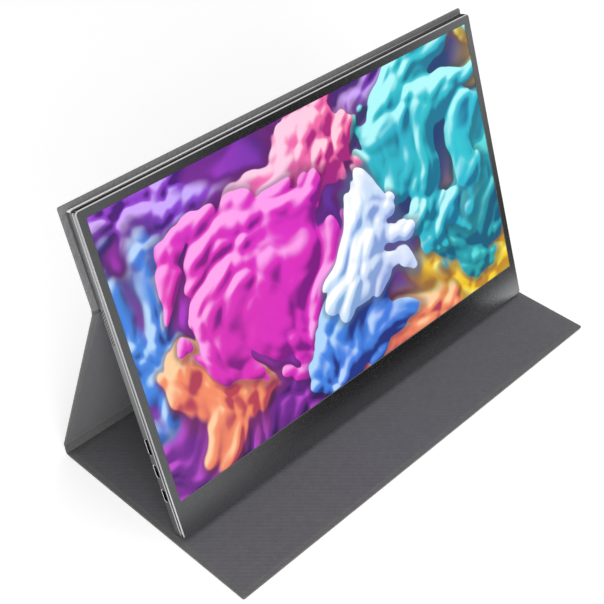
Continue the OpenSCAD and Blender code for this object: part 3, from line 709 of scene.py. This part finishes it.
def make_folds(cloth, cloth_steep):
    base_end = Vector((0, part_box("cover_base_fabric")[1].y - BASE_TUCK, spine_axis.z))
    spine = strut_axis - spine_axis
    strut_start = STRUT @ Vector((0, TUCK_DEPTH, TUCK))
    strut_end = STRUT @ Vector((0, PANEL_T - TUCK_DEPTH, STRUT_LEN - TUCK))
    upper_start = MONITOR @ Vector((0, MON_T + PANEL_T - TUCK_DEPTH, FOLD_V + TUCK))
    fold_strip("fold_base", [base_end, spine_axis, spine_axis + spine * BASE_FOLD_END],
               FOLD_T, "fold_strip_base", ("base", "spine"), cloth)
    fold_strip("spine_cloth", [spine_axis + spine * share for share in SPINE_SHARES],
               SPINE_T, "cover_spine", ("spine",), cloth)
    fold_strip("fold_rear", [spine_axis + spine * REAR_FOLD_START, strut_axis, strut_start],
               FOLD_T, "fold_strip_rear", ("spine", "strut"), cloth_steep)
    fold_strip("fold_upper", [strut_end, upper_axis, upper_start],
               FOLD_T, "fold_strip_upper", ("strut", "monitor"), cloth_steep)


def make_cover():
    cloth = twill("cover_cloth", CLOTH_LEVEL)
    cloth_steep = twill("cover_cloth_steep", CLOTH_LEVEL, steep=True)
    # A lighter copy of the cloth for the upper panel: painted light
    upper_lit_cloth = twill("cover_cloth_upper_lit", UPPER_CLOTH_LIT_LEVEL, steep=True)
    lining = twill("cover_lining", LINING_LEVEL, LINING_TINT)
    lining_steep = twill("cover_lining_steep", STEEP_LINING_SHADE_LEVEL, LINING_TINT, steep=True)
    make_panels(cloth, cloth_steep, upper_lit_cloth, lining, lining_steep)
    make_folds(cloth, cloth_steep)


# Camera, fitted to the edges of the object in the photo
CAMERA_AT = (-0.51041, -0.42868, 0.61997)
CAMERA_DIR = Vector((0.57147, 0.52406, -0.63149))
CAMERA_RIGHT = Vector((0.69073, -0.72267, 0.02535))
LENS = 74.55
SENSOR_W = 36


def make_camera():
    data = bpy.data.cameras.new("camera")
    data.lens = LENS
    data.sensor_width = SENSOR_W
    camera = bpy.data.objects.new("camera", data)
    bpy.context.scene.collection.objects.link(camera)
    back = -CAMERA_DIR.normalized()
    right = CAMERA_RIGHT.normalized()
    turn = Matrix((right, back.cross(right), back)).transposed()
    camera.matrix_world = Matrix.Translation(CAMERA_AT) @ turn.to_4x4()
    bpy.context.scene.camera = camera


# Floor, world and lamps
AMBIENT = 0.52
FLOOR_LEVEL = 0.86
FLOOR_ROUGH = 0.9
FLOOR_LIFT = 0.37
FLOOR_REACH = 6
FLOOR_CELLS = 8
FLOOR_DROP = 0.2 * MM
LAMP_TARGET = (0, 0, 0.1)
KEY_AT = (0.9, -0.1, 1.5)
KEY_SIZE = (1.2, 1.2)
KEY_POWER = 6
FILL_AT = (-0.85, -1.05, 0.55)
FILL_SIZE = (1.0, 0.8)
FILL_POWER = 18


def seen_rays(nodes):
    """1 for rays that show the background: from the camera, in gloss and through glass."""
    path = nodes.new("ShaderNodeLightPath").outputs
    return nodes.most(nodes.most(path["Is Camera Ray"], path["Is Glossy Ray"]), path["Is Transmission Ray"])


def make_world():
    world = bpy.data.worlds.new("studio")
    bpy.context.scene.world = world
    world.use_nodes = True
    world.node_tree.nodes.clear()
    nodes = Nodes(world.node_tree)
    strength = nodes.math("MULTIPLY_ADD", seen_rays(nodes), 1 - AMBIENT, AMBIENT)
    sky = nodes.new("ShaderNodeBackground", {"Color": (1, 1, 1, 1), "Strength": strength})
    nodes.put(nodes.new("ShaderNodeOutputWorld").inputs[0], sky)


def glowing(name, level, roughness, strength):
    """A dull surface that gives off white light; strength(nodes) says how much."""
    made, nodes, shader = material(name, grey(level), roughness, Specular_IOR_Level=0.0)
    shader.inputs["Emission Color"].default_value = (1, 1, 1, 1)
    nodes.put(shader.inputs["Emission Strength"], strength(nodes))
    return made


def make_floor():
    bm = bmesh.new()
    bmesh.ops.create_grid(bm, x_segments=FLOOR_CELLS, y_segments=FLOOR_CELLS, size=FLOOR_REACH)
    finish = glowing("studio_floor", FLOOR_LEVEL, FLOOR_ROUGH,
                     lambda nodes: nodes.mul(seen_rays(nodes), FLOOR_LIFT))
    made = finish_mesh("studio_floor", bm, [finish], Matrix.Translation((0, 0, -FLOOR_DROP)))


def area_light(name, place, size, power):
    """A lamp that points at the object and that gloss doesn't show."""
    data = bpy.data.lights.new(name, "AREA")
    data.shape = "RECTANGLE"
    data.size, data.size_y = size
    data.energy = power
    made = bpy.data.objects.new(name, data)
    made.visible_glossy = False
    back = (Vector(place) - Vector(LAMP_TARGET)).normalized()
    turn = back.to_track_quat("Z", "Y").to_matrix().to_4x4()
    made.matrix_world = Matrix.Translation(place) @ turn
    bpy.context.scene.collection.objects.link(made)


# Cards that only gloss sees: what the metal mirrors in front, at the left and behind
CARD_LIFT = 0.4 * MM
FRONT_X = (-1.2, 1.6)
FRONT_START = -0.092
FRONT_WALL_X = (-0.4, 1.6)
FRONT_WALL = -0.70
WALL_TOP = 1.0
FRONT_NEAR = 0.096
FRONT_MIDDLE = 0.05
FRONT_HALF = 0.165
FRONT_DRIFT = 0.93
FRONT_SPREAD = 0.38
FRONT_DARK = 0.015
FRONT_LEFT = 0.45
FRONT_LEFT_SPAN = (-0.25, -1.15)
FRONT_BESIDE = 0.45
FRONT_BESIDE_X = (-0.21, -0.30)
FRONT_RIGHT = 0.85
FRONT_RIGHT_SPAN = (0.35, 1.15)
FRONT_LOW_RIGHT = 0.12
FRONT_FOOT = 2 * MM
LEFT_X = (-0.6, -0.183)
LEFT_Y = (-0.04, 0.5)
LEFT_SHADE = (-0.34, -0.19, 1.25, 0.28)
REAR_X = (0.0, 1.5)
REAR_Y = 0.8
REAR_DARK_Z = (0.02, 0.33)
REAR_DARK = 0.03
REAR_BRIGHT_Z = (0.33, 0.75)
REAR_SHADE = (0.25, 1.0, 4.0, 0.1)


def card(name, corners, shade):
    """A card of four corners; shade(nodes) gives its brightness."""
    bm = bmesh.new()
    bm.faces.new([bm.verts.new(p) for p in corners])
    made = finish_mesh(name, bm, [glowing(name, 0.0, 1.0, shade)])
    made.visible_camera = False
    made.visible_diffuse = False
    made.visible_shadow = False
    made.visible_transmission = False


def lying_card(name, across, ahead, shade):
    (left, right), (near, far) = across, ahead
    corners = [(left, near), (right, near), (right, far), (left, far)]
    card(name, [(x, y, CARD_LIFT) for x, y in corners], shade)


def standing_card(name, across, y, upward, shade):
    (left, right), (low, high) = across, upward
    corners = [(left, low), (right, low), (right, high), (left, high)]
    card(name, [(x, y, z) for x, z in corners], shade)


def front_shade(nodes):
    """Dark in the middle of what the frame's face mirrors, paler at its ends and beside the object."""
    x, y, z = nodes.split(nodes.place())
    ahead = nodes.math("MULTIPLY_ADD", y, -1.0, -FRONT_NEAR)
    middle = nodes.math("MULTIPLY_ADD", ahead, FRONT_DRIFT, FRONT_MIDDLE)
    half = nodes.math("MULTIPLY_ADD", ahead, FRONT_SPREAD, FRONT_HALF)
    aside = nodes.div(nodes.sub(x, middle), half)
    left = nodes.ramp(aside, *FRONT_LEFT_SPAN, 0.0, FRONT_LEFT)
    beside = nodes.ramp(x, *FRONT_BESIDE_X, 0.0, FRONT_BESIDE)
    standing = nodes.above(z, FRONT_FOOT)
    ends = nodes.math("MULTIPLY_ADD", standing, FRONT_RIGHT - FRONT_LOW_RIGHT, FRONT_LOW_RIGHT)
    right = nodes.mul(nodes.ramp(aside, *FRONT_RIGHT_SPAN), ends)
    return nodes.add(left, beside, right, FRONT_DARK)


def shade_along_x(ramp):
    """A brightness that changes with x: from and to place, then from and to brightness."""
    return lambda nodes: nodes.ramp(nodes.split(nodes.place())[0], *ramp)


def make_cards():
    lying_card("front_card", FRONT_X, (FRONT_START, FRONT_WALL), front_shade)
    standing_card("front_wall", FRONT_WALL_X, FRONT_WALL, (0, WALL_TOP), front_shade)
    standing_card("rear_dark", REAR_X, REAR_Y, REAR_DARK_Z, lambda nodes: REAR_DARK)
    lying_card("left_card", LEFT_X, LEFT_Y, shade_along_x(LEFT_SHADE))
    standing_card("rear_bright", REAR_X, REAR_Y, REAR_BRIGHT_Z, shade_along_x(REAR_SHADE))


def make_studio():
    make_world()
    make_floor()
    area_light("key_light", KEY_AT, KEY_SIZE, KEY_POWER)
    area_light("fill_light", FILL_AT, FILL_SIZE, FILL_POWER)
    make_cards()


# The picture: soft billows of colour, in units of the picture's height
BEND_NOISE = ((3.7, 1.3, 0.0), 1.5, 1.5, 0.45)
CURL_NOISE = ((9.1, 5.2, 0.0), 4.2, 2.0, 0.5)
HAZE_NOISE = ((5.3, 2.9, 0.0), 1.15, 3.0, 0.5)
TINT_NOISE = ((1.9, 7.7, 0.0), 2.3, 2.0, 0.5)
BEND = 0.55
CURL = 0.085
SWAY = 1.3
TINT = 0.30
LUMPS = ((3.1, 0.95), (7.0, 1.05), (14.0, 0.50))
LUMP_SMOOTH = 0.6
LIGHT_STEP = 0.016
LIGHT_ASIDE = -0.45
PUFF = 0.22
CONTRAST = 3.0
TONE_SPAN = (0.10, 0.90)
SHADOW_REACH = -0.35
SHADOW = 0.55
SHADOW_LEVEL = 0.35
BACK_SPAN = (-0.7, 0.5)
BACK_LEFT = (0.42, 0.03, 0.60)
BACK_RIGHT = (0.01, 0.02, 0.20)
GLOW_SPAN = (-0.15, 0.65)
GLOW = (0.95, 0.62, 0.02)

# Dark, middle and light tone of each colour
CYAN = ((0.0, 0.16, 0.28), (0.02, 0.50, 0.62), (0.45, 0.95, 0.97))
TEAL = ((0.0, 0.10, 0.20), (0.01, 0.33, 0.42), (0.10, 0.72, 0.74))
YELLOW = ((0.55, 0.22, 0.01), (0.95, 0.62, 0.02), (1.0, 0.93, 0.25))
ORANGE = ((0.45, 0.04, 0.08), (0.90, 0.25, 0.12), (1.0, 0.62, 0.35))
MAGENTA = ((0.22, 0.0, 0.22), (0.72, 0.02, 0.50), (1.0, 0.35, 0.85))
PINK = ((0.40, 0.01, 0.22), (0.90, 0.14, 0.42), (1.0, 0.60, 0.78))
VIOLET = ((0.06, 0.0, 0.18), (0.28, 0.04, 0.62), (0.62, 0.36, 0.98))
BLUE = ((0.01, 0.03, 0.22), (0.05, 0.22, 0.75), (0.45, 0.68, 1.0))
WHITE = ((0.22, 0.36, 0.70), (0.60, 0.74, 0.95), (1.0, 1.0, 1.0))
PLUM = ((0.03, 0.0, 0.08), (0.16, 0.01, 0.26), (0.50, 0.06, 0.60))

# Clouds from back to front: colour, centre, size, turn in degrees and softness of the edge
PICTURE = (
    (VIOLET, (-0.66, 0.90), (0.56, 0.34), 10, 0.50),
    (BLUE, (-0.86, 0.56), (0.40, 0.36), 30, 0.45),
    (YELLOW, (0.66, 0.12), (0.66, 0.38), -15, 0.60),
    (ORANGE, (0.24, 0.06), (0.46, 0.28), 20, 0.40),
    (VIOLET, (0.26, 0.92), (0.40, 0.26), -12, 0.50),
    (PLUM, (-0.62, 0.10), (0.58, 0.32), 8, 0.30),
    (YELLOW, (0.88, 0.86), (0.30, 0.24), 40, 0.30),
    (TEAL, (0.84, 0.44), (0.36, 0.34), -20, 0.14),
    (CYAN, (0.56, 0.70), (0.42, 0.36), 25, 0.05),
    (PINK, (-0.12, 0.80), (0.42, 0.28), -25, 0.06),
    (ORANGE, (-0.62, 0.34), (0.30, 0.20), 30, 0.12),
    (MAGENTA, (-0.30, 0.50), (0.46, 0.32), 28, 0.03),
    (BLUE, (0.06, 0.24), (0.34, 0.20), -18, 0.04),
    (WHITE, (0.20, 0.47), (0.26, 0.22), 0, 0.03),
)


def noise_at(nodes, plane, seed, scale, detail, rough):
    return nodes.noise(nodes.vector("ADD", plane, seed), scale, detail, rough)


def pushed(nodes, noise, reach):
    """A noise's colour as a push to any side."""
    return nodes.vector("SCALE", nodes.vector("SUBTRACT", noise[1], (0.5, 0.5, 0.5)), scale=reach)


def billows(nodes, plane, drift):
    """Warped place and lumpy relief at the point moved by drift."""
    point = nodes.vector("ADD", plane, drift)
    bend = pushed(nodes, noise_at(nodes, point, *BEND_NOISE), BEND)
    curl = pushed(nodes, noise_at(nodes, point, *CURL_NOISE), CURL)
    warped = nodes.vector("ADD", nodes.vector("ADD", point, bend), curl)
    relief = 0.0
    for scale, share in LUMPS:
        inputs = {"Vector": warped, "Scale": scale, "Smoothness": LUMP_SMOOTH}
        cell = nodes.new("ShaderNodeTexVoronoi", inputs, feature="SMOOTH_F1", voronoi_dimensions="2D")
        distance = cell.outputs["Distance"]
        relief = nodes.math("MULTIPLY_ADD", nodes.mul(distance, distance), -share, relief)
    return warped, relief


def cloud_height(nodes, field, centre, size, turn):
    """How far the cloud's dome and lumps stand over the picture's ground."""
    warped, relief = field
    away = nodes.vector("SUBTRACT", warped, (*centre, 0))
    turned = nodes.new("ShaderNodeVectorRotate", {"Vector": away, "Angle": math.radians(turn)},
                       rotation_type="Z_AXIS")
    scaled = nodes.vector("DIVIDE", turned, (*size, 1))
    dome = nodes.sub(1.0 + PUFF, nodes.vector("DOT_PRODUCT", scaled, scaled))
    return nodes.add(relief, dome)


def cloud_tone(nodes, light, colours):
    """From the dark through the middle to the light colour."""
    node = nodes.new("ShaderNodeValToRGB", {0: light})
    ramp = node.color_ramp
    ramp.interpolation = "EASE"
    dark, middle, bright = colours
    for element, position, colour in zip(ramp.elements, TONE_SPAN, (dark, bright)):
        element.position = position
        element.color = rgba(colour)
    ramp.elements.new(0.5).color = rgba(middle)
    return node.outputs[0]


def cloud(nodes, below, fields, colours, centre, size, turn, edge):
    """One billow and its shadow over the colour below."""
    here, lit = [cloud_height(nodes, field, centre, size, turn) for field in fields]
    light = nodes.math("MULTIPLY_ADD", nodes.sub(here, lit), CONTRAST, 0.5)
    shadow = nodes.ramp(here, SHADOW_REACH, 0.0, 0.0, SHADOW)
    shaded = nodes.mix(shadow, below, tinted(SHADOW_LEVEL, colours[0]))
    return nodes.mix(nodes.ramp(here, 0.0, edge), shaded, cloud_tone(nodes, light, colours))


def picture(nodes, plane):
    """The whole picture: plane holds the place from the lower middle, in picture heights."""
    moved = (LIGHT_ASIDE * LIGHT_STEP, LIGHT_STEP, 0)
    fields = [billows(nodes, plane, drift) for drift in ((0, 0, 0), moved)]
    haze = noise_at(nodes, plane, *HAZE_NOISE)[0]
    u, v, _ = nodes.split(plane)
    sway = nodes.math("MULTIPLY_ADD", haze, SWAY, -SWAY / 2)
    colour = nodes.mix(nodes.ramp(nodes.add(u, sway), *BACK_SPAN), BACK_LEFT, BACK_RIGHT)
    colour = nodes.mix(nodes.ramp(nodes.add(nodes.sub(u, v), sway), *GLOW_SPAN), colour, GLOW)
    for entry in PICTURE:
        colour = cloud(nodes, colour, fields, *entry)
    return nodes.mix(TINT, colour, noise_at(nodes, plane, *TINT_NOISE)[1], "OVERLAY")


SCREEN_LEVEL = 0.01
SCREEN_ROUGH = 0.32
SCREEN_SPECULAR = 0.35


def make_screen():
    """The lit screen: the picture shines and the glass over it has a soft gloss."""
    made, nodes, shader = material("screen_glass", grey(SCREEN_LEVEL), SCREEN_ROUGH,
                                   Specular_IOR_Level=SCREEN_SPECULAR)
    to_screen = MONITOR.inverted()
    local = nodes.new("ShaderNodeMapping", {"Vector": nodes.place()}, vector_type="POINT")
    local.inputs["Location"].default_value = to_screen.translation
    local.inputs["Rotation"].default_value = to_screen.to_euler()
    x, _, z = nodes.split(local)
    plane = nodes.join(nodes.div(x, ACTIVE_H), nodes.div(nodes.sub(z, CHIN), ACTIVE_H))
    nodes.put(shader.inputs["Emission Color"], picture(nodes, plane))
    shader.inputs["Emission Strength"].default_value = 1
    return made


# Finishes of the small and inner pieces: name, colour, roughness, metallic and the pieces
FINISH_GRAIN = (800, 3, 0.6)
FINISH_TONE = 0.12
FINISH_ROUGH = 0.05
FINISH_BUMP = 0.3
FINISH_DEPTH = 0.03 * MM
FINISHES = (
    ("seam_rubber", grey(0.02), 0.6, 0.0, ["bezel_gasket"]),
    ("tape", grey(0.01), 0.7, 0.0, ["panel_tape"]),
    ("white_film", grey(0.85), 0.5, 0.0, ["optical_films", "reflector_sheet"]),
    ("acrylic", (0.8, 0.86, 0.88), 0.1, 0.0, ["light_guide"]),
    ("led_strip", (0.8, 0.75, 0.4), 0.4, 0.0, ["led_bar"]),
    ("sheet_metal", grey(0.6), 0.35, 1.0,
     ["backlight_tray", "magnet_plate", "board_screws", "tact_switches"]),
    ("circuit_board", (0.02, 0.12, 0.05), 0.4, 0.0,
     ["main_board", "control_board", "panel_driver_board"]),
    ("flex_film", (0.6, 0.32, 0.06), 0.35, 0.0, ["panel_flex", "control_flex", "driver_films"]),
    ("black_plastic", grey(0.02), 0.4, 0.0,
     ["main_board_chips", "usb_c_tongues", "mini_hdmi_tongue", "headphone_jack",
      "speaker_left", "speaker_right", "speaker_mesh_left", "speaker_mesh_right"]),
    ("lead_rubber", (0.35, 0.03, 0.03), 0.5, 0.0, ["speaker_leads"]),
    ("light_lens", (0.8, 0.84, 0.86), 0.2, 0.0, ["status_light"]),
    ("magnet_metal", grey(0.55), 0.25, 1.0, ["cover_magnets", "base_magnets"]),
    ("cover_board", (0.4, 0.32, 0.2), 0.9, 0.0,
     ["cover_upper_board", "cover_strut_board", "cover_base_board"]),
)


def plain_finish(name, colour, roughness, metallic):
    """Colour and roughness with a fine grain."""
    made, nodes, shader = material(name, colour, roughness, metallic)
    grain = nodes.noise(nodes.place(), *FINISH_GRAIN)[0]
    tone = nodes.spread(grain, 1 - FINISH_TONE, 1 + FINISH_TONE)
    nodes.put(shader.inputs["Base Color"], nodes.mix(1.0, colour, tone, "MULTIPLY"))
    rough = nodes.spread(grain, roughness - FINISH_ROUGH, roughness + FINISH_ROUGH)
    nodes.put(shader.inputs["Roughness"], rough)
    nodes.put(shader.inputs["Normal"], nodes.bump(grain, FINISH_BUMP, FINISH_DEPTH))
    return made


def dress(finish, names):
    for name in names:
        node = frame["nodes"][name]
        node.data.materials.clear()
        node.data.materials.append(finish)


def dress_nodes():
    dress(shell_metal(), ["rear_shell", "power_button", "menu_rocker"])
    dress(socket_metal(), ["mini_hdmi_port", "usb_c_port_upper", "usb_c_port_lower"])
    dress(make_screen(), ["lcd_cell"])
    for *finish, names in FINISHES:
        dress(plain_finish(*finish), names)


def main():
    make_camera()
    make_studio()
    dress_nodes()
    make_front_frame(frame_metal(), polished_metal("polished_edge", POLISH_LEVEL),
                     polished_metal("lip_edge", LIP_LEVEL))
    make_cover()
    bpy.context.scene.view_settings.view_transform = "Standard"


main()
